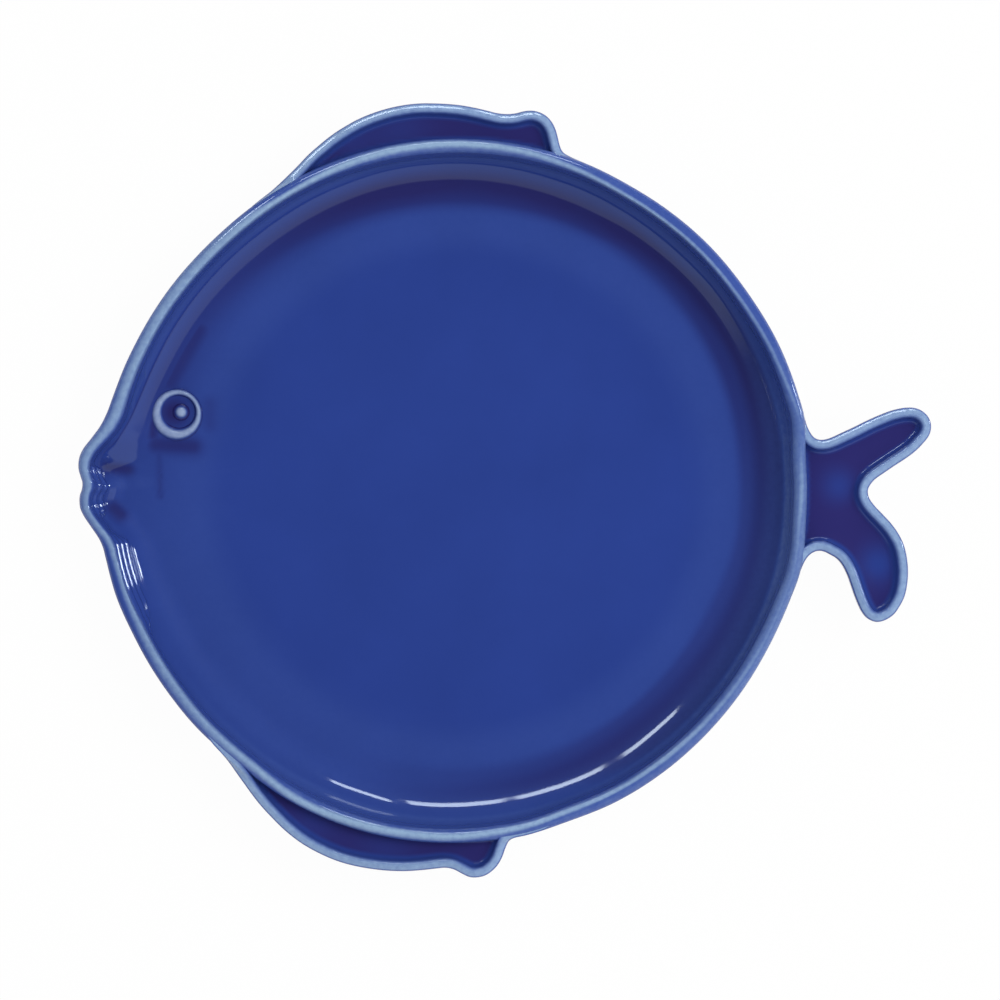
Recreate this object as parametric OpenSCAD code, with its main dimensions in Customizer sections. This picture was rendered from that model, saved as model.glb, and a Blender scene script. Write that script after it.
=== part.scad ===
// Fish shaped platter in glazed stoneware, seen from above as a round fish.
// A deep round dish makes the body. Its rim is pinched out into a snout with two lips, and three
// shallow trays with beaded edges are joined to its wall: dorsal fin, pelvic fin and forked tail.
// The eye is a ring and a pupil laid on the floor, and a turned foot ring carries the dish.
// Head towards -X, tail towards +X, dorsal fin towards +Y, and the table at z = 0.

/* [Dish] */
// Diameter of the round dish over the outside of its rim
dish_d = 300; // [260:1:360]
// Height of the platter from the table to the crest of the rim
platter_h = 38; // [35:0.5:48]
// Thickness of the floor
floor_t = 6; // [4:0.1:7]
// Thickness of the wall, and width of its rounded rim
wall_t = 6; // [5:0.1:7]
// Lean of the wall out of upright, in degrees
wall_lean = 15; // [8:0.5:20]
// Radius of the cove where the floor turns up into the wall
cove_r = 14.3; // [10:0.1:16]
// Radius of the heel where the wall turns under the dish
heel_r = 20; // [14:0.5:22]

/* [Foot ring] */
// Diameter of the foot ring over its outside
foot_d = 200; // [120:1:230]
// Width of the foot ring where it leaves the floor
foot_w = 8; // [6:0.1:12]
// Height of the foot ring, which lifts the floor off the table
foot_h = 4; // [2:0.1:6]
// Radius of the two softened edges that stand on the table
foot_edge_r = 1.5; // [0.5:0.1:1.9]

/* [Snout] */
// How far the upper lip stands out beyond the round of the dish
snout_reach = 12.3; // [6:0.1:18]
// Half of the angle over which the rim is drawn out, in degrees
snout_half_angle = 45; // [40:1:48]

/* [Fin trays] */
// Depth of the fin beads below the crest of the rim
fin_drop = 1.8; // [0:0.1:4]
// Width of the bead round the free edge of each tray
bead_w = 5; // [4:0.1:5.5]
// Depth of the hollow of each tray below its bead
hollow_depth = 6; // [3:0.1:9]
// Thickness of the web under each hollow
web_t = 5; // [3.5:0.1:6]
// Radius of the rounded lower edge of each tray
tray_edge_r = 3.5; // [2:0.1:4.5]

/* [Dorsal fin] */
// Angle on the rim where the dorsal fin leaves it near the head, in degrees
dorsal_start_angle = 122; // [118:1:126]
// Angle on the rim where the dorsal fin comes back to it, in degrees
dorsal_end_angle = 72; // [68:1:76]
// How far the dorsal fin stands out beyond the rim
dorsal_reach = 16; // [12:0.1:22]

/* [Pelvic fin] */
// Angle on the rim where the pelvic fin leaves it near the head, in degrees
pelvic_start_angle = 228.5; // [225:0.5:232]
// Angle on the rim where the pelvic fin comes back to it, in degrees
pelvic_end_angle = 278.5; // [274:0.5:282]
// How far the pelvic fin stands out beyond the rim
pelvic_reach = 17.2; // [13:0.1:22]

/* [Tail fin] */
// Length of the tail beyond the rim
tail_l = 53.3; // [46:0.1:65]
// Width of the tail over both lobes
tail_w = 92; // [84:0.5:110]
// How far the root of the tail lies below the middle line of the dish
tail_drop = 3.5; // [0:0.1:8]

/* [Eye] */
// Angle of the eye from the middle of the dish, in degrees
eye_angle = 165; // [162:0.5:168]
// Diameter of the eye ring
eye_d = 22; // [20:0.1:24]
// Diameter of the hole in the eye ring
eye_hole_d = 14.6; // [10:0.1:15]
// Height of the eye ring above the floor
eye_ring_h = 2.6; // [1.5:0.1:4]
// Floor left between the eye ring and the foot of the cove
eye_gap = 0.5; // [0.3:0.1:3]
// Diameter of the pupil
pupil_d = 5.8; // [4:0.1:8]
// Height of the pupil above the floor
pupil_h = 2; // [1:0.1:2.8]

/* [Hidden] */
// Facets of a full turn, sections round the plain part of the dish, sections round the eye ring,
// steps along an arc, and steps between two points
turn_facets = 180;
round_steps = 60;
eye_steps = 36;
arc_steps = 6;
curve_steps = 3;
// How far a tray runs on inside the wall before the dish cuts it off, and a cut's own overrun
root_run = 24;
overrun = 10;

glaze_colour = "#2c4492";
edge_colour = "#8ba0cb";
hollow_colour = "#30317a";
bisque_colour = "#cfc6b4";

dish_r = dish_d / 2;
under_z = foot_h;
floor_z = foot_h + floor_t;
bead_z = platter_h - fin_drop;
hollow_z = bead_z - hollow_depth;
tray_z = hollow_z - web_t;

// Snout, from the dorsal side to the pelvic side. Each row gives the angle as a share of the half
// angle, the reach as a share of the upper lip's, the cove's radius as a share of the dish's, and
// the wall's thickness as a share of the dish's.
snout_shares = [
    [-1, 0, 1, 1],
    [-0.7, 0.05, 0.72, 1],
    [-0.43, 0.11, 0.4, 1],
    [-0.32, 0.15, 0.35, 1],
    [-0.256, 0.25, 0.35, 1],
    [-0.207, 0.42, 0.35, 1],
    [-0.162, 0.68, 0.35, 0.98],
    [-0.125, 0.9, 0.35, 0.94],
    [-0.078, 1, 0.35, 0.9],
    [-0.04, 0.91, 0.38, 1],
    [-0.01, 0.83, 0.4, 1.12],
    [0.02, 0.87, 0.38, 1],
    [0.047, 0.92, 0.35, 0.9],
    [0.083, 0.83, 0.35, 0.94],
    [0.122, 0.62, 0.35, 0.98],
    [0.164, 0.36, 0.35, 1],
    [0.21, 0.27, 0.35, 1],
    [0.31, 0.21, 0.38, 1],
    [0.45, 0.17, 0.45, 1],
    [0.7, 0.08, 0.72, 1],
    [1, 0, 1, 1]
];

// Fins: each row gives the place along the fin as a share of its angle, and how far it stands out
// beyond the rim as a share of its reach. Rows with a minus are the root inside the wall, as
// shares of the root's run. Both outlines start at the tip near the head.
dorsal_shares = [
    [0.02, 0],
    [0.092, 0.13],
    [0.19, 0.42],
    [0.278, 0.68],
    [0.358, 0.86],
    [0.43, 0.96],
    [0.5, 1],
    [0.57, 0.975],
    [0.64, 0.91],
    [0.71, 0.81],
    [0.765, 0.71],
    [0.797, 0.72],
    [0.824, 0.82],
    [0.858, 0.93],
    [0.895, 0.94],
    [0.928, 0.79],
    [0.952, 0.5],
    [0.972, 0.12],
    [0.975, -0.4],
    [0.93, -0.9],
    [0.75, -1.1],
    [0.5, -1.2],
    [0.25, -1.2],
    [0.07, -1.1],
    [-0.04, -0.75],
    [-0.03, -0.3]
];
pelvic_shares = [
    [0.02, 0.02],
    [0.085, 0.19],
    [0.16, 0.43],
    [0.235, 0.65],
    [0.3, 0.8],
    [0.37, 0.92],
    [0.45, 0.99],
    [0.52, 0.995],
    [0.6, 0.94],
    [0.68, 0.87],
    [0.745, 0.78],
    [0.79, 0.72],
    [0.83, 0.78],
    [0.858, 0.93],
    [0.89, 0.97],
    [0.92, 0.89],
    [0.952, 0.68],
    [0.977, 0.36],
    [0.988, -0.05],
    [0.975, -0.5],
    [0.92, -0.95],
    [0.75, -1.15],
    [0.5, -1.2],
    [0.25, -1.2],
    [0.07, -1.1],
    [-0.04, -0.75],
    [-0.03, -0.3]
];
// Tail: each row gives the place behind the rim as a share of the tail's length, and across it as
// a share of its width. Rows with a minus in the first place are shares of the root's run.
tail_shares = [
    [0.094, 0.264],
    [0.2, 0.268],
    [0.375, 0.327],
    [0.6, 0.388],
    [0.79, 0.418],
    [0.928, 0.402],
    [0.998, 0.33],
    [0.928, 0.249],
    [0.79, 0.182],
    [0.62, 0.115],
    [0.497, 0.054],
    [0.5, -0.005],
    [0.61, -0.08],
    [0.735, -0.17],
    [0.8, -0.275],
    [0.805, -0.4],
    [0.745, -0.505],
    [0.62, -0.573],
    [0.485, -0.563],
    [0.405, -0.49],
    [0.355, -0.41],
    [0.285, -0.315],
    [0.18, -0.262],
    [0.094, -0.25],
    [0.025, -0.268],
    [-0.04, -0.3],
    [-0.19, -0.36],
    [-0.45, -0.4],
    [-0.85, -0.36],
    [-1.1, -0.2],
    [-1.15, 0.03],
    [-1.1, 0.25],
    [-0.85, 0.38],
    [-0.45, 0.405],
    [-0.14, 0.362],
    [0, 0.32],
    [0.0375, 0.283]
];
// Places inside each tray from which its hollow and its underside are filled, the middle one first
fin_middle_shares = [[0.48, -0.35], [0.15, -0.45], [0.8, -0.3]];
tail_middle_shares = [[0.24, 0], [-0.4, 0.01], [0.64, 0.26], [0.56, -0.32]];
// Middle of the hole in the eye ring, off the ring's own middle, as shares of the ring's diameter
eye_hole_shares = [0.045, 0.045];
// Places of the bead's inner flank halfway down and at the hollow's foot, as shares of its width
flank_shares = [1.06, 1.25];
// Taper of the foot ring on each side, as a share of its width
foot_taper_share = 0.12;

// Point on a circle, and points along an arc with its last one left out
function polar(radius, angle) = radius * [cos(angle), sin(angle)];
function arc(centre, radius, from, to, steps) = [
    for (i = [0:steps - 1]) centre + polar(radius, from + (to - from) * i / steps)
];

// Smooth curve through the given points, with even steps between two of them
function between(a, b, c, d, t) =
    (2 * b + (c - a) * t + (2 * a - 5 * b + 4 * c - d) * t * t + (3 * b - a - 3 * c + d) * t * t * t) / 2;
function closed_curve(points) = [
    for (i = [0:len(points) - 1], k = [0:curve_steps - 1])
        let (n = len(points))
        between(points[(i + n - 1) % n], points[i], points[(i + 1) % n], points[(i + 2) % n], k / curve_steps)
];
function open_curve(points) = [
    for (i = [0:len(points) - 2], k = [0:curve_steps - 1])
        let (n = len(points) - 1)
        between(points[max(i - 1, 0)], points[i], points[i + 1], points[min(i + 2, n)], k / curve_steps),
    points[len(points) - 1]
];

// Radius, at height z, of a line that runs along the wall at a distance outside its middle
function beside_wall(rim, z, distance) =
    rim[0] - (rim[1] - z) * tan(wall_lean) + distance / cos(wall_lean);

// Half section of the dish from its axis over the floor, up the wall, over the rim and back under.
// It has one point at the crest, and as many inside that as outside.
function rim_middle(radius, thick) = [radius - thick / 2, platter_h - thick / 2];
function cove_middle(rim, thick, cove) = [beside_wall(rim, floor_z + cove, -thick / 2 - cove), floor_z + cove];
function heel_middle(rim, thick) = [beside_wall(rim, under_z + heel_r, thick / 2 - heel_r), under_z + heel_r];
function outer_section(rim, thick) = concat(
    arc(rim, thick / 2, 90, 0, arc_steps - 1),
    [rim + polar(thick / 2, 0)],
    [rim + polar(thick / 2, -wall_lean)],
    arc(heel_middle(rim, thick), heel_r, -wall_lean, -90, arc_steps),
    [heel_middle(rim, thick) + polar(heel_r, -90)]
);
function section(radius, thick, cove) =
    let (rim = rim_middle(radius, thick))
    concat(
        arc(cove_middle(rim, thick, cove), cove, -90, -wall_lean, arc_steps),
        [cove_middle(rim, thick, cove) + polar(cove, -wall_lean)],
        arc(rim, thick / 2, 180 - wall_lean, 90, arc_steps),
        outer_section(rim, thick)
    );

// Rows round the dish in real angles and sizes: angle, radius, thickness and cove
snout_rows = [
    for (s = open_curve(snout_shares))
        [180 + s[0] * snout_half_angle, dish_r + s[1] * snout_reach, s[3] * wall_t, s[2] * cove_r]
];
round_rows = [
    for (i = [0:round_steps])
        [180 + snout_half_angle + (360 - 2 * snout_half_angle) * i / round_steps, dish_r, wall_t, cove_r]
];

// Outlines of the trays seen from above
function fin_point(s, start, end, reach) =
    polar(dish_r + s[1] * (s[1] < 0 ? root_run : reach), start + s[0] * (end - start));
function fin_outline(shares, start, end, reach) =
    closed_curve([for (s = shares) fin_point(s, start, end, reach)]);
function tail_point(s) = [dish_r + s[0] * (s[0] < 0 ? root_run : tail_l), s[1] * tail_w - tail_drop];
dorsal_outline = fin_outline(dorsal_shares, dorsal_start_angle, dorsal_end_angle, dorsal_reach);
pelvic_outline = fin_outline(pelvic_shares, pelvic_start_angle, pelvic_end_angle, pelvic_reach);
tail_outline = closed_curve([for (s = tail_shares) tail_point(s)]);

// The origin is the middle of the whole outline, on the table
left = min([for (r = snout_rows) polar(r[1], r[0])[0]]);
right = max([for (p = tail_outline) p[0]]);
top = max([for (p = dorsal_outline) p[1]]);
bottom = min([for (p = pelvic_outline) p[1]]);
dish_place = [-(left + right) / 2, -(top + bottom) / 2, 0];

// The eye ring lies inside the foot of the cove, measured at the eye's own angle
eye_row = [for (r = snout_rows) if (r[0] > eye_angle) r][0];
eye_floor_r = cove_middle(rim_middle(eye_row[1], eye_row[2]), eye_row[2], eye_row[3])[0];
eye_place = polar(eye_floor_r - eye_gap - eye_d / 2, eye_angle);
eye_hole_place = eye_place + eye_d * eye_hole_shares;

// Rings of a tray from its underside up the outside, over the bead and down into the hollow: how
// far the outline is drawn in, and the height
tray_rings = concat(
    arc([tray_edge_r, tray_z + tray_edge_r], tray_edge_r, -90, -180, arc_steps / 2),
    [[0, tray_z + tray_edge_r]],
    arc([bead_w / 2, bead_z - bead_w / 2], bead_w / 2, 180, 0, arc_steps),
    [
        [bead_w, bead_z - bead_w / 2],
        [bead_w * flank_shares[0], (bead_z - bead_w / 2 + hollow_z) / 2],
        [bead_w * flank_shares[1], hollow_z]
    ]
);

// Outline turned to run clockwise, and the direction into it at one of its points
function cross_sum(line, i = 0) =
    i == len(line) ? 0 : cross(line[i], line[(i + 1) % len(line)]) + cross_sum(line, i + 1);
function clockwise(line) =
    cross_sum(line) > 0 ? [for (i = [1:len(line)]) line[len(line) - i]] : line;
function inward(line, i) =
    let (n = len(line), along = line[(i + 1) % n] - line[(i + n - 1) % n])
    [along[1], -along[0]] / norm(along);

// Index of the place that is nearest to a point
function nearest(places, point) =
    let (away = [for (p = places) norm(p - point)])
    search(min(away), away)[0];

// Faces that fill a line of points from the places inside it. Each edge belongs to the place that
// is nearest, and where that changes, two faces reach over to the next place by way of the first.
function filled(line, places, edge_start, place_start) =
    let (n = len(line), near = [for (p = line) nearest(places, p)])
    [
        for (i = [0:n - 1])
            let (corner = edge_start + i, before = near[(i + n - 1) % n], after = near[i])
            each concat(
                [[corner, edge_start + (i + 1) % n, place_start + after]],
                before == after || before == 0 ? [] : [[corner, place_start, place_start + before]],
                before == after || after == 0 ? [] : [[corner, place_start + after, place_start]]
            )
    ];
function turned_over(faces) = [for (f = faces) [f[2], f[1], f[0]]];

// Tray with a beaded edge, as a skin over its rings, closed across the hollow and underneath
module tray(outline, places) {
    line = clockwise(outline);
    n = len(line);
    last = (len(tray_rings) - 1) * n;
    under_start = last + n;
    hollow_start = under_start + len(places);
    polyhedron(
        points = concat(
            [
                for (ring = tray_rings, i = [0:n - 1])
                    [each line[i] + ring[0] * inward(line, i), ring[1]]
            ],
            [for (p = places) [each p, tray_z]],
            [for (p = places) [each p, hollow_z]]
        ),
        faces = concat(
            [
                for (j = [0:n:last - n], i = [0:n - 1])
                    [j + i, j + (i + 1) % n, j + n + (i + 1) % n, j + n + i]
            ],
            turned_over(filled(line, places, 0, under_start)),
            filled(line, places, last, hollow_start)
        )
    );
}

// Solid lofted right round the dish's axis through one section a row, closed at the axis
module turned(rows, sections, upper_middle, lower_middle) {
    m = len(sections[0]);
    n = len(rows) * m;
    polyhedron(
        points = concat(
            [for (k = [0:len(rows) - 1], p = sections[k]) [each polar(p[0], rows[k][0]), p[1]]],
            [[0, 0, upper_middle], [0, 0, lower_middle]]
        ),
        faces = concat(
            [for (j = [0:m:n - m]) [n, (j + m) % n, j]],
            [for (j = [0:m:n - m]) [n + 1, j + m - 1, (j + m) % n + m - 1]],
            [
                for (j = [0:m:n - m], i = [0:m - 2])
                    let (k = (j + m) % n)
                    each [[j + i, k + i, k + i + 1], [j + i, k + i + 1, j + i + 1]]
            ]
        )
    );
}

// Everything inside the outer face of the round dish, to which the trays are cut
module dish_envelope() {
    outer = outer_section(rim_middle(dish_r, wall_t), wall_t);
    turned(round_rows, [for (r = round_rows) outer], platter_h, under_z);
}

// Floor, wall and rim in one piece: the plain round, and the sector drawn out into the snout
module dish_body() {
    rows = concat(snout_rows, [for (i = [1:round_steps - 1]) round_rows[i]]);
    color(glaze_colour)
    translate(dish_place)
        turned(rows, [for (r = rows) section(r[1], r[2], r[3])], floor_z, under_z);
}

module dorsal_fin() {
    places = [for (s = fin_middle_shares) fin_point(s, dorsal_start_angle, dorsal_end_angle, dorsal_reach)];
    color(hollow_colour)
    translate(dish_place)
        difference() {
            tray(dorsal_outline, places);
            dish_envelope();
        }
}

module pelvic_fin() {
    places = [for (s = fin_middle_shares) fin_point(s, pelvic_start_angle, pelvic_end_angle, pelvic_reach)];
    color(hollow_colour)
    translate(dish_place)
        difference() {
            tray(pelvic_outline, places);
            dish_envelope();
        }
}

module tail_fin() {
    color(hollow_colour)
    translate(dish_place)
        difference() {
            tray(tail_outline, [for (s = tail_middle_shares) tail_point(s)]);
            dish_envelope();
        }
}

// Coil of clay with a half round top, thicker where its hole lies off the middle
module eye_ring() {
    steps = [for (i = [0:eye_steps - 1]) 360 * i / eye_steps];
    top_steps = [for (k = [0:arc_steps]) 180 * k / arc_steps];
    m = len(top_steps);
    n = eye_steps * m;
    color(edge_colour)
    translate(dish_place + [0, 0, floor_z])
        polyhedron(
            points = [
                for (a = steps, t = top_steps)
                    let (
                        outer = eye_place + polar(eye_d / 2, a),
                        inner = eye_hole_place + polar(eye_hole_d / 2, a),
                        p = (outer + inner) / 2 + (outer - inner) / 2 * cos(t)
                    )
                    [p[0], p[1], eye_ring_h * sin(t)]
            ],
            faces = [
                for (j = [0:m:n - m], i = [0:m - 1])
                    [j + i, j + (i + 1) % m, (j + m) % n + (i + 1) % m, (j + m) % n + i]
            ]
        );
}

// Small dome cut from a ball that is as large as the pupil's width and height ask for
module eye_pupil() {
    ball_r = (pow(pupil_d / 2, 2) + pow(pupil_h, 2)) / (2 * pupil_h);
    color(edge_colour)
    translate(dish_place + [eye_hole_place[0], eye_hole_place[1], floor_z])
        intersection() {
            translate([0, 0, pupil_h - ball_r])
                sphere(ball_r, $fn = turn_facets);
            cylinder(h = pupil_h + overrun, d = pupil_d + overrun, $fn = turn_facets);
        }
}

// Turned ring under the floor, narrower and softened where it stands on the table
module foot_ring() {
    outer_r = foot_d / 2;
    inner_r = outer_r - foot_w;
    taper = foot_w * foot_taper_share;
    color(bisque_colour)
    translate(dish_place)
        rotate_extrude($fn = turn_facets)
            polygon(concat(
                [[outer_r, foot_h], [inner_r, foot_h]],
                arc([inner_r + taper + foot_edge_r, foot_edge_r], foot_edge_r, 180, 270, arc_steps),
                [[inner_r + taper + foot_edge_r, 0]],
                arc([outer_r - taper - foot_edge_r, foot_edge_r], foot_edge_r, 270, 360, arc_steps),
                [[outer_r - taper, foot_edge_r]]
            ));
}

dish_body();
dorsal_fin();
pelvic_fin();
tail_fin();
eye_ring();
eye_pupil();
foot_ring();
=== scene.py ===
import math

import bmesh
import bpy
import numpy as np
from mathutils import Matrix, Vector, geometry


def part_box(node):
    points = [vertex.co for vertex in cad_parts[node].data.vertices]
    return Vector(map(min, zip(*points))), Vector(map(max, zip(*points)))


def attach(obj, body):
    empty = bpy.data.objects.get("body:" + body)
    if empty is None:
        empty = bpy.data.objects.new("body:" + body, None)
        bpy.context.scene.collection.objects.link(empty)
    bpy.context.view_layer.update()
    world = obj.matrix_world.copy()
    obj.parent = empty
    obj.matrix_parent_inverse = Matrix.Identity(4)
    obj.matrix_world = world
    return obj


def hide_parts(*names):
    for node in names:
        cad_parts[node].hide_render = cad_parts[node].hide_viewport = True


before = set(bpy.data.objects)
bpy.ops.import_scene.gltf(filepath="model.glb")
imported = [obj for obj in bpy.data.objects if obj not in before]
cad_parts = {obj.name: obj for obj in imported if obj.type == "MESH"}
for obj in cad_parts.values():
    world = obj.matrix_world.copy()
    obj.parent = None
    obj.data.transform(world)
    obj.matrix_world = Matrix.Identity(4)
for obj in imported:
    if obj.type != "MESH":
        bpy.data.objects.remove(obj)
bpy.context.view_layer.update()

# The dish: the round body of the fish, thrown in stoneware, with a cove between floor and wall and
# a rounded rim that is drawn out into a snout with two lips. It is dipped in a clear blue glaze,
# which runs thin over the rim and lies thick in the cove, and stops short of the foot.

ring_low, ring_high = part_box("foot_ring")
dish_middle = np.array([(ring_low.x + ring_high.x) / 2, (ring_low.y + ring_high.y) / 2, 0.0])
rim_z = 38.0
floor_z = 10.0
base_z = 4.0


def flowing(table, angles):
    """Smooth closed curve through (angle, value) pairs, read at any angles, in degrees."""
    knots = np.array([a for a, v in table], float)
    values = np.array([v for a, v in table], float)
    knots = np.concatenate([knots[-3:] - 360, knots, knots[:3] + 360])
    values = np.concatenate([values[-3:], values, values[:3]])
    slopes = np.gradient(values, knots)
    at = (np.asarray(angles, float) - knots[3]) % 360 + knots[3]
    i = np.clip(np.searchsorted(knots, at, side="right") - 1, 0, len(knots) - 2)
    run = knots[i + 1] - knots[i]
    t = (at - knots[i]) / run
    return (
        (1 + 2 * t) * (1 - t) ** 2 * values[i]
        + t * (1 - t) ** 2 * run * slopes[i]
        + t * t * (3 - 2 * t) * values[i + 1]
        + t * t * (t - 1) * run * slopes[i + 1]
    )


def calmed(values, angles, spread):
    """The values with bends shorter than the spread, in degrees, smoothed away."""
    steps_a_degree = 10
    even = np.arange(0, 360, 1 / steps_a_degree)
    flat = np.interp(even, angles, values, period=360)
    reach = int(spread * steps_a_degree * 3)
    weight = np.exp(-((np.arange(-reach, reach + 1) / (spread * steps_a_degree)) ** 2) / 2)
    over = len(weight)
    flat = np.concatenate([flat[-over:], flat, flat[:over]])
    flat = np.convolve(flat, weight / weight.sum(), "same")
    return np.interp(angles, even, flat[over:-over], period=360)


def eased(x, low, high):
    """Rises smoothly from 0 at low to 1 at high."""
    t = np.clip((np.asarray(x, float) - low) / (high - low), 0, 1)
    return t * t * (3 - 2 * t)


def clay_piece(name, points, faces, **masks):
    """Mesh in millimetres from the middle of the dish, with one mask value a point."""
    mesh = bpy.data.meshes.new(name)
    mesh.from_pydata((np.asarray(points, float) / 1000 + dish_middle).tolist(), [], faces)
    for mask, values in masks.items():
        layer = mesh.attributes.new(mask, "FLOAT", "POINT")
        layer.data.foreach_set("value", np.asarray(values, np.float32))
    work = bmesh.new()
    work.from_mesh(mesh)
    bmesh.ops.remove_doubles(work, verts=work.verts, dist=2e-7)
    if work.calc_volume(signed=True) < 0:
        bmesh.ops.reverse_faces(work, faces=work.faces)
    work.to_mesh(mesh)
    work.free()
    mesh.shade_smooth()
    piece = bpy.data.objects.new(name, mesh)
    bpy.context.scene.collection.objects.link(piece)
    return piece


# The outline: radius in millimetres at each direction in degrees, as in all the lines below
rim_line = [
    (0, 150.0), (6, 150.2), (9, 151.2), (12, 152.0), (15, 151.7), (18, 151.5), (24, 151.2), (33, 150.4),
    (45, 150.2), (54, 149.8), (60, 149.6), (69, 150.0), (78, 150.1), (90, 150.1), (105, 150.0),
    (117, 149.8), (126, 149.4), (132, 149.2), (138, 149.4), (144, 149.9), (150, 150.4), (156, 151.0),
    (160, 151.6), (163, 152.0), (165, 152.4), (168, 153.4), (170, 155.0), (172, 157.8), (174, 161.0),
    (175, 161.95), (176, 162.25), (177, 162.0), (178, 161.1), (179, 160.2), (180, 160.4), (181, 161.3),
    (182, 161.5), (183, 161.2), (184, 160.1), (186, 157.1), (188, 154.4), (189.2, 153.5), (191, 153.1),
    (194, 152.9), (197, 152.8), (204, 151.8), (210, 151.4), (216, 151.1), (222, 151.0), (228, 150.6),
    (234, 150.5), (240, 151.2), (249, 151.7), (258, 151.8), (266, 151.5), (272, 151.2), (277, 151.0),
    (282, 150.9), (288, 150.0), (297, 150.2), (306, 150.0), (315, 149.7), (324, 149.6), (333, 149.6),
    (339, 150.0), (342, 150.4), (346, 151.2), (350, 151.0), (354, 150.2),
]
# Distance in to the crest, where the glaze is thinnest, and how pale the band is: thin glaze and painted
# light
crest_line = [
    (0, 2.5), (9, 2.2), (12, 2.4), (18, 3.4), (27, 4.1), (33, 4.3), (66, 4.3), (78, 3.0), (90, 2.6),
    (102, 2.8), (112, 3.6), (120, 4.2), (135, 4.4), (150, 4.4), (160, 4.3), (168, 4.2), (174, 3.5),
    (180, 3.2), (184, 3.4), (190, 4.3), (198, 5.0), (207, 4.8), (225, 4.3), (235, 3.6), (243, 2.5),
    (252, 2.9), (261, 3.2), (270, 3.0), (276, 3.6), (290, 4.3), (312, 4.2), (322, 3.8), (335, 3.0),
    (345, 3.0), (351, 3.3), (356, 2.9),
]
pale_line = [
    (0, 0.75), (9, 0.45), (16, 0.58), (24, 0.58), (36, 0.64), (54, 0.78), (70, 0.82), (84, 1.0), (105, 1.0),
    (120, 0.95), (140, 0.85), (165, 0.8), (180, 0.75), (195, 0.78), (225, 0.8), (240, 0.95), (270, 1.0),
    (290, 0.9), (312, 0.78), (330, 0.6), (345, 0.54), (352, 0.6),
]
# How far the pale band reaches from the crest, inwards and outwards
inner_reach_line = [
    (0, 2.3), (30, 1.8), (54, 1.8), (75, 2.2), (90, 2.4), (117, 2.4), (135, 2.0), (150, 2.4), (162, 2.9),
    (171, 3.4), (176, 2.6), (180, 1.6), (190, 1.9), (198, 2.3), (225, 2.4), (258, 2.3), (300, 2.1),
]
outer_reach_line = [
    (0, 2.1), (18, 1.6), (36, 1.3), (66, 1.6), (84, 2.2), (105, 2.6), (112, 2.0), (117, 1.4), (122, 1.8),
    (127, 4.0), (165, 4.6), (180, 4.2), (195, 2.6), (206, 3.8), (226, 3.8), (238, 2.6), (252, 3.4),
    (264, 3.0), (276, 2.4), (294, 1.3), (318, 1.8),
]
# Where the cove is 24 and 42 degrees steep, and how far the wall above it leans out
cove_inner_line = [
    (0, 133.5), (14, 134.6), (26, 135.3), (32, 135.2), (38, 134.8), (44, 134.3), (50, 133.8), (56, 133.4),
    (62, 132.7), (74, 132.8), (86, 133.1), (104, 133.1), (113, 132.7), (122, 132.3), (134, 132.4),
    (140, 132.9), (146, 133.5), (152, 134.1), (158, 134.9), (162, 135.8), (165.5, 136.6), (168.7, 136.9),
    (170.4, 137.0), (172, 138.1), (173.1, 140.2), (174, 142.8), (175, 145.9), (175.8, 148.1),
    (176.4, 149.1), (177.06, 149.4), (178, 148.4), (179.15, 147.0), (179.7, 146.7), (180.6, 147.2),
    (182.06, 148.2), (182.8, 147.6), (183.56, 146.0), (186, 142.0), (188.6, 138.5), (192, 137.1),
    (196.6, 136.3), (205, 135.0), (215, 134.3), (225, 133.9), (250, 133.9), (265, 133.5), (275, 132.4),
    (285, 132.1), (295, 132.2), (308, 131.8), (325, 132.2), (345, 133.2),
]
cove_outer_line = [
    (0, 139.0), (14, 139.4), (26, 139.3), (32, 139.6), (38, 139.8), (44, 139.2), (50, 139.0), (56, 139.1),
    (62, 139.2), (68, 139.4), (74, 139.4), (80, 139.8), (92, 140.1), (104, 140.0), (110, 139.5),
    (116, 139.2), (122, 138.8), (128, 138.6), (134, 138.9), (140, 139.2), (146, 139.6), (152, 140.1),
    (158, 140.7), (162, 141.4), (165.5, 142.5), (167.1, 143.2), (168.7, 144.2), (170.4, 145.8),
    (172, 147.8), (173.1, 150.1), (174, 152.3), (175, 153.8), (175.8, 154.0), (176.4, 153.5),
    (177.06, 152.9), (178, 152.0), (178.8, 151.2), (179.3, 150.3), (179.7, 149.9), (180.6, 150.3),
    (181.4, 150.9), (182.06, 151.3), (182.8, 150.9), (183.56, 150.3), (184.3, 149.2), (186, 145.8),
    (188.6, 142.2), (190.3, 141.72), (192, 141.36), (194, 141.1), (196.6, 141.0), (199, 140.9),
    (205, 139.9), (215, 139.4), (225, 139.2), (250, 139.3), (265, 139.8), (275, 139.3), (285, 138.9),
    (295, 139.0), (308, 138.6), (325, 138.6), (345, 139.2),
]
slope_line = [
    (0, 0.06), (160, 0.06), (170, 0.05), (176, 0.04), (179, 0.06), (184, 0.07), (190, 0.03), (198, 0.04),
    (210, 0.06),
]
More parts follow.
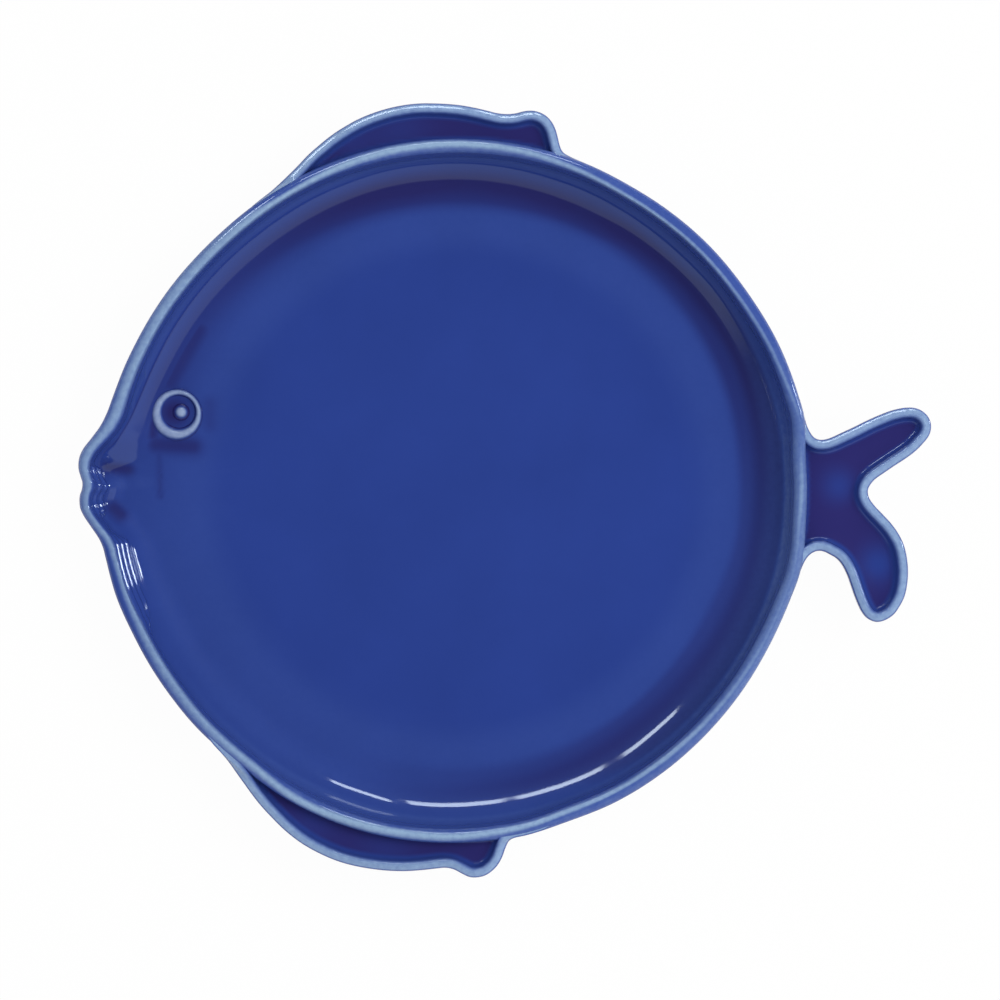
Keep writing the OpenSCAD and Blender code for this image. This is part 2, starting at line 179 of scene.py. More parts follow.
# Width of the rim over its rounded top, and how dark the cove is drawn: pooled glaze and painted shade
rim_width_line = [
    (0, 5.8), (20, 5.9), (30, 6.0), (45, 5.9), (60, 5.7), (75, 6.0), (90, 6.2), (105, 6.1), (120, 5.8),
    (140, 5.7), (155, 5.7), (160, 6.0), (164, 6.4), (168, 6.9), (172, 6.8), (174, 6.2), (175.6, 5.2),
    (177.6, 4.9), (179.6, 5.3), (181.8, 4.8), (184.4, 5.1), (188, 5.4), (190, 5.1), (197, 5.1), (204, 5.7),
    (220, 5.9), (240, 5.9), (265, 6.0), (285, 6.4), (300, 6.6), (318, 6.4), (335, 6.2),
]
pool_line = [
    (0, 0.76), (15, 0.97), (30, 1.0), (60, 1.0), (95, 1.0), (115, 0.9), (135, 0.56), (150, 0.46),
    (160, 0.48), (170, 0.3), (178, 0.1), (190, 0.0), (248, 0.0), (262, 0.3), (275, 0.5), (290, 0.68),
    (320, 0.78), (335, 0.74),
]
pool_from_line = [
    (5, 119.3), (20, 120), (35, 120.5), (50, 120), (80, 118.5), (110, 117.5), (125, 116), (140, 115),
    (180, 115), (262, 117.5), (290, 117), (320, 118), (335, 117.5), (350, 120),
]
pool_to_line = [
    (5, 125), (20, 126.5), (35, 127.5), (50, 128), (80, 126), (110, 127), (125, 129), (140, 130),
    (180, 130), (262, 124), (290, 123.5), (320, 122), (335, 123), (350, 124.5),
]
# How much paler the wall and the cove are drawn: thinner glaze, painted light and reflection on the wall,
# painted light in the cove
wall_glaze_and_light_line = [
    (0, 0.36), (30, 0.18), (60, 0.2), (90, 0.26), (115, 0.2), (140, 0.13), (165, 0.13), (190, 0.08),
    (210, 0.08), (235, 0.2), (300, 0.24), (335, 0.34),
]
cove_painted_light_line = [
    (0, 0.11), (20, 0.09), (35, 0.05), (60, 0), (170, 0), (195, 0.05), (240, 0.08), (300, 0.09),
    (345, 0.11),
]
# Strength of the painted reflection, a fine dark line where the cove turns up into the wall
painted_reflection_line = [(0, 0.3), (140, 0.3), (165, 0.55), (180, 0.4)]

# Height of the rim's inner edge, and the cove's slopes: at its seen edge, between its arcs, at its top
lip_z = 34.4
start_turn, low_turn, high_turn = (math.radians(a) for a in (24, 42, 80))

# Directions of the mesh, closer together towards the head and closest at the snout
stations = np.concatenate([
    np.arange(0, 135, 1.25), np.arange(135, 166, 0.62), np.arange(166, 193, 0.16),
    np.arange(193, 225, 0.5), np.arange(225, 360, 1.25),
])
outline_r = flowing(rim_line, stations)
crest_in = flowing(crest_line, stations)
pale = flowing(pale_line, stations)
inner_reach = flowing(inner_reach_line, stations)
outer_reach = flowing(outer_reach_line, stations)
cove_inner = calmed(flowing(cove_inner_line, stations), stations, 0.45)
turned_up_r = calmed(flowing(cove_outer_line, stations), stations, 0.45)
wall_slope = flowing(slope_line, stations)
rim_width = flowing(rim_width_line, stations)

# Radius and height of each row, from the middle of the floor over the rim to the middle underneath
rows_r, rows_z = [], []


def row(r, z):
    """One more row of the mesh, with a radius and height at every station."""
    rows_r.append(np.broadcast_to(np.asarray(r, float), stations.shape))
    rows_z.append(np.broadcast_to(np.asarray(z, float), stations.shape))


# Throwing ledges left on the wall of the cheek and inside the mouth: their size and crispness, and
# each one's height with how much of it shows in each direction
ledge_step, ledge_sharpness = 0.71, 1.72
cheek = eased(stations, 186.8, 189.2) * (1 - eased(stations, 199, 207))
mouth = eased(stations, 175.9, 177) * (1 - eased(stations, 183.2, 185))
ledges = ((20.0, np.maximum(mouth, cheek)), (25.5, cheek), (31.0, cheek), (27.5, mouth))


def ledge_run(z):
    """How far the ledges below this height have carried the wall outwards."""
    return sum(ledge_step * (1 + np.tanh((z - at) * ledge_sharpness)) * deep for at, deep in ledges)


lip_r = outline_r - rim_width
low_cove = (turned_up_r - cove_inner) / (math.sin(low_turn) - math.sin(start_turn))
cove_middle_r = turned_up_r - low_cove * math.sin(low_turn)

# How squarely each direction meets the wall, which runs aslant round the snout
aslant = np.gradient(turned_up_r, np.radians(stations)) / turned_up_r
squareness = calmed(1 / np.sqrt(1 + aslant**2), stations, 1.0)

# The cove's lower arc, which keeps one slope for longer in a flat strip on the dish's lower side
strip_slope, strip_spread, strip_share = 28.5, 2.4, 1.1
dwell = strip_share * eased(stations, 252, 262) * (1 - eased(stations, 300, 312))
cove_turns = np.linspace(0, low_turn, 22)
turns_between = ((cove_turns[1:] + cove_turns[:-1]) / 2)[:, None]
flatter = 1 + dwell * np.exp(-(((np.degrees(turns_between) - strip_slope) / strip_spread) ** 2))
upper = turns_between > start_turn
spare = np.sum(flatter * upper * np.cos(turns_between), 0) / np.sum(upper * np.cos(turns_between))
arc = low_cove * np.where(upper, flatter / spare, 1) * cove_turns[1]
start_row = np.zeros_like(stations)
cove_r = cove_middle_r + np.vstack([start_row, np.cumsum(arc * np.cos(turns_between), 0)])
cove_z = floor_z + np.vstack([start_row, np.cumsum(arc * squareness * np.sin(turns_between), 0)])
turned_up_r, turned_up_z = cove_r[-1], cove_z[-1]

# The cove's upper arc takes up the room that the wall and its ledges leave
room = lip_r - turned_up_r - (lip_z - turned_up_z) * wall_slope
room = room - (ledge_run(lip_z) - ledge_run(turned_up_z))
up, out = math.cos(low_turn) - math.cos(high_turn), math.sin(high_turn) - math.sin(low_turn)
high_cove = np.clip(room / (out - up * squareness * wall_slope), 1.2, 18)
wall_foot_r = turned_up_r + high_cove * out
wall_foot_z = turned_up_z + high_cove * squareness * up
wall_run = lip_r - wall_foot_r - (ledge_run(lip_z) - ledge_run(wall_foot_z))

# The floor, the cove's two arcs, the wall and the rounded rim
for share in (0.12, 0.28, 0.45, 0.6, 0.7, 0.77, *np.linspace(0.82, 0.99, 15)):
    row(cove_middle_r * share, floor_z)
floor_rows = len(rows_r)
for r, z in zip(cove_r, cove_z):
    row(r, z)
for turn in np.linspace(low_turn, high_turn, 13)[1:]:
    row(
        turned_up_r + high_cove * (math.sin(turn) - math.sin(low_turn)),
        turned_up_z + high_cove * squareness * (math.cos(low_turn) - math.cos(turn)),
    )
for t in np.linspace(0, 1, 58)[1:-1]:
    z = wall_foot_z + (lip_z - wall_foot_z) * t
    row(wall_foot_r + wall_run * t + ledge_run(z) - ledge_run(wall_foot_z), z)
inner_rows = len(rows_r)
for turn in np.radians(np.linspace(0, 90, 13)):
    behind_crest = (rim_width - crest_in) * np.cos(turn)
    row(outline_r - crest_in - behind_crest, lip_z + (rim_z - lip_z) * np.sin(turn))
shoulder_z = 34.6
for turn in np.radians(np.linspace(0, 90, 15)[1:]):
    row(outline_r - crest_in + crest_in * np.sin(turn), shoulder_z + (rim_z - shoulder_z) * np.cos(turn))

# The outside of the wall, its round heel and the underside, with rows close at both edges of the foot
for z, lean in ((33.9, 0.03), (33.0, 0.14), (31.5, 0.42), (29.5, 0.9), (27, 1.55), (24, 2.35), (21, 3.2)):
    row(outline_r - lean, z)
heel, heel_in = 20.0, 23.55
for turn in np.radians(np.linspace(-15, -90, 14)):
    row(outline_r - heel_in + heel * math.cos(turn), base_z + heel + heel * math.sin(turn))
for r in (118, 112, 107, 104, 102.5, 101.5, 100.8, 100.2, 96, 91.6, 91, 90.2, 89, 86, 80, 66, 44, 22):
    row(r, base_z)

radius = np.array(rows_r)
height = np.array(rows_z)

# Slight ridge between the two hollows of the mouth
ridge_at, ridge_spread, ridge_rise = 179.7, 0.9, 0.6
into_wall = np.clip((height - floor_z) / (lip_z - floor_z), 0, 1)
inside = np.zeros_like(radius)
inside[floor_rows:inner_rows] = 1
ridge = ridge_rise * np.exp(-(((stations - ridge_at) / ridge_spread) ** 2))
radius = radius - ridge * np.sin(np.pi * into_wall) * inside
heading = np.radians(stations)
east, north = radius * np.cos(heading), radius * np.sin(heading)

# Glaze masks: thin over the crest, thick in the cove, bare round the foot; the first two also carry painted
# light and painted shade
from_crest = radius - (outline_r - crest_in)
past_foot = (radius - cove_middle_r) / low_cove
reach = np.where(from_crest < 0, inner_reach, outer_reach)
thin = pale * np.exp(-((from_crest / (reach * 0.8)) ** 2))
thin[:inner_rows] *= eased(height[:inner_rows], 30, 34)
below = np.clip((shoulder_z - height) / 3.0, 0, 1)
below[:inner_rows] = 0
thin = thin * (1 - below) ** 2

# The wall and cove are drawn a little paler than the floor, most of all towards the tail: thinner glaze on
# the wall, and painted light and painted reflection
tailward = np.cos(np.radians(stations + 12))
up_wall = eased(height - turned_up_z, 0.8, 3.5)
paler_glaze_and_light = flowing(wall_glaze_and_light_line, stations) * up_wall + 0.1 * eased(height, 33, 36)
paler_glaze_and_light = paler_glaze_and_light + 0.03 * np.clip(tailward, 0, 1) ** 4 * eased(past_foot, -0.2, 0.1)
paler_glaze_and_light = paler_glaze_and_light + flowing(cove_painted_light_line, stations) * eased(past_foot, 0.25, 0.6) * (1 - up_wall)
paler_glaze_and_light[inner_rows:] = (paler_glaze_and_light * (1 - below))[inner_rows:]

# The pool, pooled glaze and painted shade, fades in over the floor's edge and out again up the cove
pool_end = 0.42 + 0.5 * np.clip(tailward - 0.55, 0, 0.45) / 0.45
pool_start, pool_full = flowing(pool_from_line, stations), flowing(pool_to_line, stations)
pool = 0.62 * eased(radius, pool_start, pool_full) + 0.38 * eased(past_foot, 0.0, 0.36)
pool = pool * (1 - eased(past_foot, pool_end, pool_end + 0.3)) * flowing(pool_line, stations)

# Painted reflection: a fine dark line where the cove turns up into the wall, added to the pool
reflection_out, reflection_spread = 0.5, 0.45
painted_reflection = flowing(painted_reflection_line, stations) * np.exp(-(((radius - turned_up_r - reflection_out) / reflection_spread) ** 2))
painted_reflection = painted_reflection * eased(stations, 30, 45) * (1 - eased(stations, 172, 177))
pool = np.maximum(pool, painted_reflection)

# Darker places round the eye and mouth, glaze run together and painted shade in the hollows: both ends,
# breadth and darkness
stains_and_shade = (
    ((-124, 46.5), (-111.5, 69), 5.2, 0.7), ((-132.6, 40), (-131.8, 24), 3.6, 0.85),
    ((-130, 19.5), (-114, 18.5), 4.5, 0.75), ((-128.9, 17), (-128.2, -3), 1.5, 0.45),
    ((-107, 37), (-107, 28), 3.5, 0.35), ((-122.4, 33.4), (-121.6, 33.4), 6.8, 1.1),
    ((-151, 9.5), (-142, 8.5), 3, 0.85), ((-148.5, -8), (-145.5, -11), 3.4, 0.85),
)
# They stay off the part of the cove that mirrors the pale wall, except at the snout
clear_band = 1 - eased(past_foot, 0.3, 0.42) * (1 - eased(stations, 171, 175))
for start, end, breadth, dark in stains_and_shade:
    along = np.array(end, float) - start
    x, y = east - start[0], north - start[1]
    t = np.clip((x * along[0] + y * along[1]) / (along @ along), 0, 1)
    away = (x - t * along[0]) ** 2 + (y - t * along[1]) ** 2
    pool = np.maximum(pool, dark * np.exp(-away / breadth**2) * (height < 20) * clear_band)
pool[inner_rows:] = 0

# Painted light: outside the pool the floor is drawn paler towards its edge, and in two spots by the mouth
painted_floor_light = 0.085 * eased(radius, 98, 114) * (1 - np.clip(pool * 1.6, 0, 1))
painted_floor_light = painted_floor_light * (1 - eased(past_foot, 0.3, 0.7))
paler_glaze_and_light[:inner_rows] += painted_floor_light[:inner_rows]
thin = np.maximum(thin, paler_glaze_and_light)
for x, y, size, light in ((-145, 2, 6, 0.14), (-136, 3, 8, 0.12)):
    away = (east - x) ** 2 + ((north - y) * 1.6) ** 2
    painted_light_spot = light * np.exp(-away / size**2) * (height < 16)
    thin[:inner_rows] = np.maximum(thin, painted_light_spot)[:inner_rows]

# Underneath, the clay is wiped bare where the foot is joined on
bare = np.zeros_like(radius)
under = height < base_z + 0.01
bare[under] = (eased(radius, 90.6, 91.2) * (1 - eased(radius, 101.2, 101.9)))[under]

# Quads between the n rows of m points, and a fan of triangles round the middle above and below
n, m = radius.shape
rings = np.stack([east, north, height], axis=2).reshape(-1, 3)
points = np.vstack([rings, [[0, 0, floor_z], [0, 0, base_z]]])
faces = []
for i in range(n - 1):
    for k in range(m):
        j = (k + 1) % m
        faces.append((i * m + k, (i + 1) * m + k, (i + 1) * m + j, i * m + j))
for k in range(m):
    j = (k + 1) % m
    faces.append((n * m, k, j))
    faces.append((n * m + 1, (n - 1) * m + j, (n - 1) * m + k))
middles = [0.0, 0.0]
dish = clay_piece(
    "dish_glazed", points, faces,
    thin=np.append(thin.ravel(), middles),
    pool=np.append(pool.ravel(), middles),
    bare=np.append(bare.ravel(), middles),
)


def sockets(group, wanted):
    """Gives a node group its inputs and outputs."""
    for name, kind, way, value in wanted:
        socket = group.interface.new_socket(name=name, in_out=way, socket_type=kind)
        if value is not None:
            socket.default_value = value


def add(tree, kind, inputs=None, **settings):
    """Adds a node; inputs are plain values or other nodes' outputs."""
    made = tree.nodes.new(kind)
    for name, value in settings.items():
        setattr(made, name, value)
    for name, value in (inputs or {}).items():
        if isinstance(value, bpy.types.NodeSocket):
            tree.links.new(value, made.inputs[name])
        else:
            made.inputs[name].default_value = value
    return made


def mixed(tree, factor, a, b):
    """Colour between a and b."""
    return add(tree, "ShaderNodeMix", {0: factor, 6: a, 7: b}, data_type="RGBA").outputs[2]


def between(tree, factor, a, b):
    """Number between a and b."""
    return add(tree, "ShaderNodeMix", {0: factor, 2: a, 3: b}, data_type="FLOAT").outputs[0]


def counted(tree, operation, a, b, clamp=False):
    """Sum of the named kind on a and b."""
    return add(tree, "ShaderNodeMath", {0: a, 1: b}, operation=operation, use_clamp=clamp).outputs[0]


def noise(tree, place, scale, detail=2.0, roughness=0.5):
    """Cloudy pattern from 0 to 1."""
    return add(tree, "ShaderNodeTexNoise", {
        "Vector": place, "Scale": scale, "Detail": detail, "Roughness": roughness,
    }).outputs[0]


# Fired glaze: even blue, darker where it lies thick, pale where it runs thin over an edge
# On the dish its pool and thin inputs also carry painted shade and painted light
glaze_group = bpy.data.node_groups.new("fired glaze", "ShaderNodeTree")
sockets(glaze_group, [
    ("Thin And Light", "NodeSocketFloat", "INPUT", 0.0), ("Pool And Shade", "NodeSocketFloat", "INPUT", 0.0),
    ("Even Colour", "NodeSocketColor", "INPUT", (0.0265, 0.0575, 0.297, 1)),
    ("Pool Colour", "NodeSocketColor", "INPUT", (0.02, 0.018, 0.12, 1)),
    ("Edge Colour", "NodeSocketColor", "INPUT", (0.055, 0.105, 0.39, 1)),
    ("Thin Colour", "NodeSocketColor", "INPUT", (0.3, 0.45, 0.62, 1)),
    ("Ripple", "NodeSocketFloat", "INPUT", 1.0),
    ("Colour", "NodeSocketColor", "OUTPUT", None), ("Roughness", "NodeSocketFloat", "OUTPUT", None),
    ("Height", "NodeSocketFloat", "OUTPUT", None),
])
tree = glaze_group
given = tree.nodes.new("NodeGroupInput")
result = tree.nodes.new("NodeGroupOutput")
place = add(tree, "ShaderNodeTexCoord").outputs["Object"]
clouds = noise(tree, place, 22.0, detail=4.0, roughness=0.55)
streaks = noise(tree, place, 420.0, detail=3.0, roughness=0.6)
grain = noise(tree, place, 1500.0, detail=2.0)
unevenness = counted(tree, "ADD", counted(tree, "MULTIPLY", clouds, 0.5), 0.75)
pooled = counted(tree, "MULTIPLY", given.outputs["Pool And Shade"], unevenness, True)
spread = counted(tree, "ADD", counted(tree, "MULTIPLY", streaks, 0.6), 0.7)
thinned = counted(tree, "MULTIPLY", given.outputs["Thin And Light"], spread, True)
edge = counted(tree, "MULTIPLY", thinned, 3.3, True)
past_edge = counted(tree, "MULTIPLY", counted(tree, "SUBTRACT", thinned, 0.3), 1.43, True)
blue = mixed(tree, pooled, given.outputs["Even Colour"], given.outputs["Pool Colour"])
blue = mixed(tree, edge, blue, given.outputs["Edge Colour"])
blue = mixed(tree, past_edge, blue, given.outputs["Thin Colour"])
shade = counted(tree, "ADD", counted(tree, "MULTIPLY", clouds, 0.22), 0.89)
shaded = add(tree, "ShaderNodeVectorMath", {0: blue, "Scale": shade}, operation="SCALE").outputs[0]
tree.links.new(shaded, result.inputs["Colour"])
rough = counted(tree, "MULTIPLY", clouds, 0.05)
rough = counted(tree, "ADD", rough, counted(tree, "MULTIPLY", grain, 0.03))
rough = counted(tree, "ADD", rough, counted(tree, "MULTIPLY", thinned, 0.05))
tree.links.new(counted(tree, "ADD", rough, 0.02), result.inputs["Roughness"])
swell = noise(tree, place, 60.0, detail=1.0)
level = counted(tree, "ADD", swell, counted(tree, "MULTIPLY", streaks, 0.06))
tree.links.new(counted(tree, "MULTIPLY", level, given.outputs["Ripple"]), result.inputs["Height"])

# Bare clay: warm off-white with iron specks and a fine tooth, where the glaze was wiped away
clay_group = bpy.data.node_groups.new("bare clay", "ShaderNodeTree")
sockets(clay_group, [
    ("Clay Colour", "NodeSocketColor", "INPUT", (0.62, 0.55, 0.44, 1)),
    ("Speck Colour", "NodeSocketColor", "INPUT", (0.16, 0.1, 0.06, 1)),
    ("Colour", "NodeSocketColor", "OUTPUT", None), ("Roughness", "NodeSocketFloat", "OUTPUT", None),
    ("Height", "NodeSocketFloat", "OUTPUT", None),
])
tree = clay_group
given = tree.nodes.new("NodeGroupInput")
result = tree.nodes.new("NodeGroupOutput")
place = add(tree, "ShaderNodeTexCoord").outputs["Object"]
body = noise(tree, place, 90.0, detail=5.0)
tooth = noise(tree, place, 1800.0, detail=3.0)
specks = add(tree, "ShaderNodeTexVoronoi", {"Vector": place, "Scale": 520.0}).outputs["Distance"]
speck = add(tree, "ShaderNodeMapRange", {
    "Value": specks, "From Min": 0.1, "From Max": 0.2, "To Min": 0.8, "To Max": 0.0,
}).outputs[0]
gathered = add(tree, "ShaderNodeMapRange", {"Value": body, "From Min": 0.5, "From Max": 0.62}).outputs[0]
speck = counted(tree, "MULTIPLY", speck, gathered)
shade = counted(tree, "ADD", counted(tree, "MULTIPLY", body, 0.3), 0.84)
speckled = mixed(tree, speck, given.outputs["Clay Colour"], given.outputs["Speck Colour"])
shaded = add(tree, "ShaderNodeVectorMath", {0: speckled, "Scale": shade}, operation="SCALE").outputs[0]
tree.links.new(shaded, result.inputs["Colour"])
rough = counted(tree, "ADD", counted(tree, "MULTIPLY", tooth, 0.2), 0.72)
tree.links.new(rough, result.inputs["Roughness"])
tree.links.new(tooth, result.inputs["Height"])


def mask(tree, name):
    """One of the values that clay_piece stored on the points."""
    return add(tree, "ShaderNodeAttribute", attribute_name=name).outputs["Fac"]


def glazed_clay(name, pool, thin):
    """Glaze over the piece, with bare clay where its bare mask says so."""
    material = bpy.data.materials.new(name)
    material.use_nodes = True
    tree = material.node_tree
    surface = tree.nodes["Principled BSDF"]
    glaze = add(tree, "ShaderNodeGroup", {
        "Thin And Light": mask(tree, "thin"), "Pool And Shade": mask(tree, "pool"),
        "Pool Colour": (*pool, 1), "Thin Colour": (*thin, 1),
    }, node_tree=glaze_group).outputs
    clay = add(tree, "ShaderNodeGroup", node_tree=clay_group).outputs
    bare = mask(tree, "bare")
    colour = mixed(tree, bare, glaze["Colour"], clay["Colour"])
    rough = between(tree, bare, glaze["Roughness"], clay["Roughness"])
    level = between(tree, bare, glaze["Height"], clay["Height"])
    bump = add(tree, "ShaderNodeBump", {"Strength": 1.0, "Distance": 0.00006, "Height": level})
    tree.links.new(colour, surface.inputs["Base Color"])
    tree.links.new(rough, surface.inputs["Roughness"])
    tree.links.new(bump.outputs[0], surface.inputs["Normal"])
    surface.inputs["IOR"].default_value = 1.5
    return material


dish.data.materials.append(glazed_clay("dish glaze", pool=(0.024, 0.025, 0.142), thin=(0.31, 0.46, 0.68)))
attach(dish, "root")
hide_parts("dish_body")

# The dorsal fin: a crescent tray of the same stoneware, pressed in a mould and joined to the wall
# with slip. Its free edge is a round bead, its hollow holds a thick pool of glaze, and both run
# into the rim.

# Heights of the hollow and of the bead's foot, and the radius, inside the wall, where the tray ends
hollow_z, bead_z = 30.2, 33.6
root_r = 147.4
# The tray's section: steps in from its edge and heights, up the outside, over the bead, down inside
tray_rows = [
    (3.5, 25.2), (2.16, 25.47), (1.03, 26.22), (0.27, 27.36), (0.0, 28.7), (0.0, 31.0), (0.0, bead_z),
]
# The bead: how steep it is at each step in from its outer edge, and how thin the glaze lies there
bead_steps = (0, 0.05, 0.15, 0.3, 0.5, 0.75, 0.95, 1.95, 2.3, 2.6, 2.9, 3.25, 3.6, 3.9, 4.2, 4.45)
bead_slopes = (87, 81, 68, 56, 44, 33, 29.3, 23.6, 13, 2, -10, -25, -40, -54, -68, -79)
thin_steps = (0.1, 0.8, 2.6, 3.4, 4.2, 4.8, 5.8)
thin_shares = (0, 0.86, 0.86, 0.62, 0.34, 0.12, 0)
z = bead_z
for low, high in zip(np.arange(0, 4.4, 0.1), np.arange(0.1, 4.5, 0.1)):
    z += math.tan(math.radians(np.interp((low + high) / 2, bead_steps, bead_slopes))) * (high - low)
    tray_rows.append((high, z))
tray_rows += [
    (4.55, 33.2), (4.68, 32.5), (4.9, 31.8), (5.2, 31.2), (5.65, 30.7), (6.3, 30.36), (7.2, hollow_z),
]


def bead_curve(table, steps=7):
    """Closed curve through the outline's points."""
    p = np.asarray(table, float)
    a, b, c, d = (np.roll(p, s, axis=0)[:, None, :] for s in (1, 0, -1, -2))
    t = (np.arange(steps) / steps)[None, :, None]
    line = (2 * b + (c - a) * t + (2 * a - 5 * b + 4 * c - d) * t**2 + (3 * b - a - 3 * c + d) * t**3) / 2
    return line.reshape(-1, 2)


def around(table):
    """Points from pairs of direction and radius."""
    return [(r * math.cos(math.radians(a)), r * math.sin(math.radians(a))) for a, r in table]


def to_line(points, line):
    """Distance from each point to a closed line."""
    a, b = line, np.roll(line, -1, axis=0)
    best = np.full(len(points), 1e9)
    for p, q in zip(a, b):
        along = q - p
        t = np.clip(((points - p) @ along) / max(along @ along, 1e-12), 0, 1)
        best = np.minimum(best, np.linalg.norm(points - p - t[:, None] * along, axis=1))
    return best


def even_steps(line, step):
    """The closed line again with about even steps."""
    loop = np.vstack([line, line[:1]])
    run = np.concatenate([[0], np.cumsum(np.linalg.norm(np.diff(loop, axis=0), axis=1))])
    at = np.linspace(0, run[-1], int(run[-1] / step) + 1)[:-1]
    return np.stack([np.interp(at, run, loop[:, 0]), np.interp(at, run, loop[:, 1])], axis=1)


def filled(loop, spacing):
    """Triangles inside a closed loop, over its own points and a grid of new ones."""
    low, high = loop.min(0), loop.max(0)
    grid = []
    for j, y in enumerate(np.arange(low[1], high[1], spacing * 0.866)):
        for x in np.arange(low[0] + (j % 2) * spacing / 2, high[0], spacing):
            grid.append((x, y))
    grid = np.array(grid)
    x, y = grid[:, :1], grid[:, 1:]
    ax, ay = loop.T[:, None]
    bx, by = np.roll(loop, -1, axis=0).T[:, None]
    crossing = ((ay > y) != (by > y)) & (x < (bx - ax) * (y - ay) / (by - ay + 1e-12) + ax)
    grid = grid[crossing.sum(1) % 2 == 1]
    grid = grid[to_line(grid, loop) > spacing * 0.6]
    n = len(loop)
    spots = [Vector(p) for p in loop] + [Vector(p) for p in grid]
    out = geometry.delaunay_2d_cdt(spots, [(i, (i + 1) % n) for i in range(n)], [], 1, 1e-5)
    return np.array([tuple(v) for v in out[0]]), out[2]


def beaded_tray(name, outline, wall_r, light_spots):
    """Tray with a bead round its free edge; what would pass through the wall stays inside it."""
    line = even_steps(bead_curve(outline), 0.8)
    along = np.roll(line, -1, axis=0) - np.roll(line, 1, axis=0)
    if np.sum(line[:, 0] * np.roll(line[:, 1], -1) - np.roll(line[:, 0], -1) * line[:, 1]) < 0:
        line, along = line[::-1], -along[::-1]
    inward = np.stack([-along[:, 1], along[:, 0]], axis=1)
    inward /= np.linalg.norm(inward, axis=1)[:, None]
    n = len(line)
    loops, heights = [], []

    # Rings of the section, which are smoothed inside the bead, the more the further in they lie
    for step_in, z in tray_rows:
        loop = line + inward * step_in
        for _ in range(int(max(step_in - 4, 0) * 4)):
            loop = 0.5 * loop + 0.25 * (np.roll(loop, 1, axis=0) + np.roll(loop, -1, axis=0))
        r = np.linalg.norm(loop, axis=1)
        loop = loop * (np.maximum(r, root_r) / r)[:, None]
        loops.append(loop)
        heights.append(np.full(n, z))
    points = [np.column_stack([p, z]) for p, z in zip(loops, heights)]
    thin = [np.full(n, np.interp(s, thin_steps, thin_shares) * eased(z, 28, 34)) for s, z in tray_rows]
    pool = [np.full(n, float(eased(s, 5.3, 7.2))) for s, z in tray_rows]
    faces = [
        (i * n + k, i * n + (k + 1) % n, (i + 1) * n + (k + 1) % n, (i + 1) * n + k)
        for i in range(len(points) - 1) for k in range(n)
    ]

    # The hollow, which dips a little, and the flat underside
    dip, dip_run = 0.5, 3
    for loop_number, spacing in ((len(points) - 1, 1.6), (0, 5.0)):
        loop = loops[loop_number]
        spots, triangles = filled(loop, spacing)
        used = sum(len(p) for p in points)
        depth = to_line(spots, loop)
        z = np.full(len(spots), tray_rows[loop_number][1])
        if loop_number:
            z = z - dip * (1 - np.exp(-depth / dip_run))
        points.append(np.column_stack([spots, z]))
        thin.append(np.zeros(len(spots)))
        pool.append(np.full(len(spots), 1.0 if loop_number else 0.0))
        for f in triangles:
            corner = [spots[i] for i in f]
            area = (corner[1][0] - corner[0][0]) * (corner[2][1] - corner[0][1])
            area -= (corner[2][0] - corner[0][0]) * (corner[1][1] - corner[0][1])
            f = list(f) if (area > 0) == bool(loop_number) else list(f)[::-1]
            faces.append(tuple(used + i for i in f))
    points = np.vstack(points)
    thin, pool = np.concatenate(thin), np.concatenate(pool)

    # A fillet of slip and glaze where the tray meets the wall, which leans in below its top
    fillet, wall_top, wall_lean = 2.4, 34, 0.25
    r, z = np.linalg.norm(points[:, :2], axis=1), points[:, 2]
    gap = np.clip(r - (wall_r - np.clip(wall_top - z, 0, None) * wall_lean), 0, None)
    rise = fillet - np.sqrt(np.maximum(fillet**2 - np.clip(fillet - gap, 0, None) ** 2, 0))
    top = np.where(r < 149, 36.0, 37.0)
    points[:, 2] = np.where(z > 29, np.minimum(z + rise, np.maximum(top, z)), z)
    pool = pool * eased(r, 150.2, 152.2)
    for x, y, size, share in light_spots:
        pool = pool * (1 - share * np.exp(-((points[:, 0] - x) ** 2 + (points[:, 1] - y) ** 2) / size**2))
    return clay_piece(name, points, faces, thin=thin, pool=pool, bare=np.zeros(len(points)))


dorsal_edge = [
    (131, 146.5), (128.5, 148.4), (126, 149.4), (124, 149.85), (122, 150.3), (120, 151.3), (118, 152.7),
    (116, 154.45), (114, 156.6), (112, 158.45), (110, 160.3), (108, 161.9), (105, 163.9), (102, 165.2),
    (99, 165.9), (96, 166.0), (93, 165.4), (90, 164.6), (87.5, 163.6), (85.4, 162.6), (83.8, 161.95),
    (82.4, 162.05), (81.1, 162.9), (79.9, 164.4), (78.7, 165.3), (77.5, 165.2), (76.4, 164.2),
    (75.4, 162.2), (74.6, 159.6), (73.9, 156.4), (73.2, 153.2), (72.4, 151.2), (71.0, 150.4), (69.0, 150.0),
    (67.0, 149.3), (65.5, 147.5), (66, 143), (69, 133), (75, 125), (84, 122), (97, 121.2), (109.5, 121.2),
    (119, 123.6), (126, 130), (131, 139),
]
dorsal_spots = ((-25, 155, 14, 0.35), (-45, 149, 9, 0.35))
dorsal = beaded_tray("dorsal_fin_glazed", around(dorsal_edge), wall_r=148.8, light_spots=dorsal_spots)
fin_glaze = glazed_clay("fin glaze", pool=(0.029, 0.027, 0.16), thin=(0.3, 0.44, 0.68))
dorsal.data.materials.append(fin_glaze)
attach(dorsal, "root")
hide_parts("dorsal_fin")

# The pelvic fin: the like tray on the fish's belly, of the same clay and joined to the wall in the
# same way. It is as long as the dorsal fin and sits a little further towards the head.

